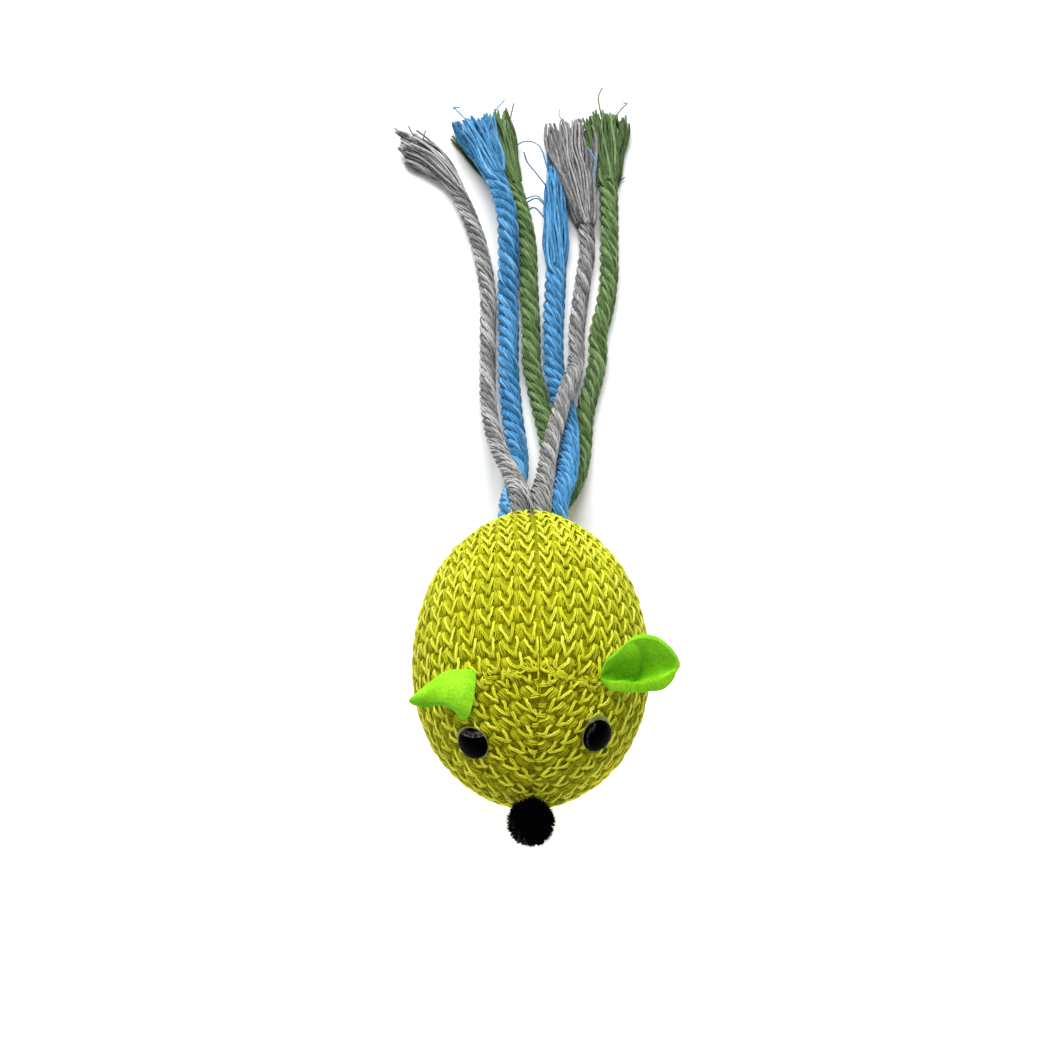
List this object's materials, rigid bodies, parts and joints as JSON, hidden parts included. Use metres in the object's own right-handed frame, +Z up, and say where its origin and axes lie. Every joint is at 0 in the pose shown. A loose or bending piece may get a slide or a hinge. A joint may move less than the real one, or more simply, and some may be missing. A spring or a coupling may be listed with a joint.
{
  "type": "catnip mouse toy",
  "caption": "Stuffed knitted mouse for a cat, with felt ears, glued button eyes, a pom-pom nose, a herb sachet inside and a tail of twisted cotton cords with frayed ends.",
  "frame": {"origin": "on the flat of the belly, under the middle of the body", "axes": "nose along -Y, tail along +Y, +Z up out of the back; the mouse's own left is +X"},
  "size_m": [0.0741, 0.225, 0.0561],
  "materials": {
    "knit": "chunky stocking-stitch knit, yellow-green",
    "thread": "yellow-green sewing thread",
    "fibre": "loose white polyester fibre",
    "sachet": "thin off-white non-woven cloth",
    "herb": "dry crushed leaf",
    "felt": "bright green wool felt",
    "eye_plastic": "polished black",
    "glue": "cloudy dried glue",
    "pompom": "black fuzzy fibre ball",
    "grey_cord": "three-ply twisted grey cotton",
    "blue_cord": "three-ply twisted blue cotton",
    "green_cord": "three-ply twisted olive green cotton"
  },
  "bodies": {
    "body": {"left_side_panel": "knit", "right_side_panel": "knit", "back_seam_thread": "thread", "belly_seam_thread": "thread", "left_dart_thread": "thread", "right_dart_thread": "thread", "upper_fibre_filling": "fibre", "lower_fibre_filling": "fibre", "sachet_upper_cloth": "sachet", "sachet_lower_cloth": "sachet", "catnip_filling": "herb", "left_eye_glue": "glue", "left_eye": "eye_plastic", "right_eye_glue": "glue", "right_eye": "eye_plastic", "nose_pompom": "pompom", "nose_stitch": "thread", "tail_binding": "thread", "tail_root_grey_right": "grey_cord", "tail_root_blue_right": "blue_cord", "tail_root_green_middle": "green_cord", "tail_root_blue_left": "blue_cord", "tail_root_grey_left": "grey_cord", "tail_root_green_left": "green_cord"},
    "left_ear": {"left_ear": "felt"},
    "right_ear": {"right_ear": "felt"},
    "grey_right_cord_end": {"tail_end_grey_right": "grey_cord"},
    "blue_right_cord_end": {"tail_end_blue_right": "blue_cord"},
    "green_middle_cord_end": {"tail_end_green_middle": "green_cord"},
    "blue_left_cord_end": {"tail_end_blue_left": "blue_cord"},
    "grey_left_cord_end": {"tail_end_grey_left": "grey_cord"},
    "green_left_cord_end": {"tail_end_green_left": "green_cord"}
  },
  "joints": [
    {"name": "left_ear_fold", "type": "hinge", "parent": "body", "child": "left_ear", "pos_m": [0.0175, -0.0157, 0.0463], "axis": [0.1644, -0.9864, 0], "range_deg": [-40, 60], "stiffness_Nm_per_rad": 0.002},
    {"name": "right_ear_fold", "type": "hinge", "parent": "body", "child": "right_ear", "pos_m": [-0.0152, -0.0156, 0.0482], "axis": [-0.156, 0.9878, 0], "range_deg": [0, 70], "stiffness_Nm_per_rad": 0.002},
    {"name": "grey_right_cord_lift", "type": "hinge", "parent": "body", "child": "grey_right_cord_end", "pos_m": [0, 0.098, 0.0063], "axis": [1, 0, 0], "range_deg": [0, 70]},
    {"name": "blue_right_cord_lift", "type": "hinge", "parent": "body", "child": "blue_right_cord_end", "pos_m": [0, 0.098, 0.0063], "axis": [1, 0, 0], "range_deg": [0, 70]},
    {"name": "green_middle_cord_lift", "type": "hinge", "parent": "body", "child": "green_middle_cord_end", "pos_m": [0, 0.098, 0.0063], "axis": [1, 0, 0], "range_deg": [0, 70]},
    {"name": "blue_left_cord_lift", "type": "hinge", "parent": "body", "child": "blue_left_cord_end", "pos_m": [0, 0.098, 0.0063], "axis": [1, 0, 0], "range_deg": [0, 70]},
    {"name": "grey_left_cord_lift", "type": "hinge", "parent": "body", "child": "grey_left_cord_end", "pos_m": [0, 0.098, 0.0063], "axis": [1, 0, 0], "range_deg": [0, 70]},
    {"name": "green_left_cord_lift", "type": "hinge", "parent": "body", "child": "green_left_cord_end", "pos_m": [0, 0.098, 0.0063], "axis": [1, 0, 0], "range_deg": [0, 70]}
  ],
  "couplings": [
    {"joint": "blue_right_cord_lift", "follows": "green_middle_cord_lift", "ratio": 1}
  ]
}
